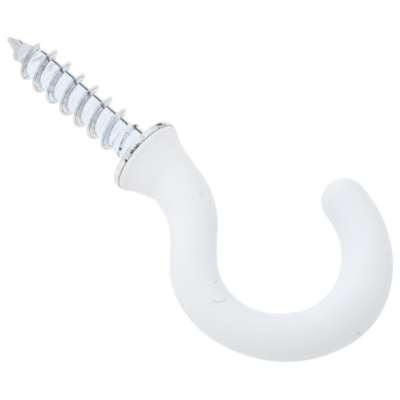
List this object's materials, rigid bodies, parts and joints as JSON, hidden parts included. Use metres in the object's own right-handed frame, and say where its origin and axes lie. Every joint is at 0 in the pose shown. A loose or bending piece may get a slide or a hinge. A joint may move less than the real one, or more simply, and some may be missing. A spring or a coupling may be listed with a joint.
{
  "type": "cup hook",
  "caption": "Wood-screw cup hook bent from one zinc-plated steel wire with a gimlet-point thread and a collar, its hook end dipped in white vinyl up to the collar.",
  "frame": {"origin": "middle of the collar's seat face, on the screw's axis", "axes": "+Z along the screw towards its point, which is up when the hook hangs under a shelf; the wire is bent in the XZ plane and its tip is on the +X side"},
  "size_m": [0.0209, 0.0072, 0.0421],
  "materials": {
    "zinc_plated_steel": "bright zinc plate over cold-formed wire",
    "white_vinyl": "smooth semi-gloss dipped vinyl"
  },
  "bodies": {
    "root": {"steel_hook": "zinc_plated_steel", "vinyl_coat": "white_vinyl"}
  },
  "joints": []
}
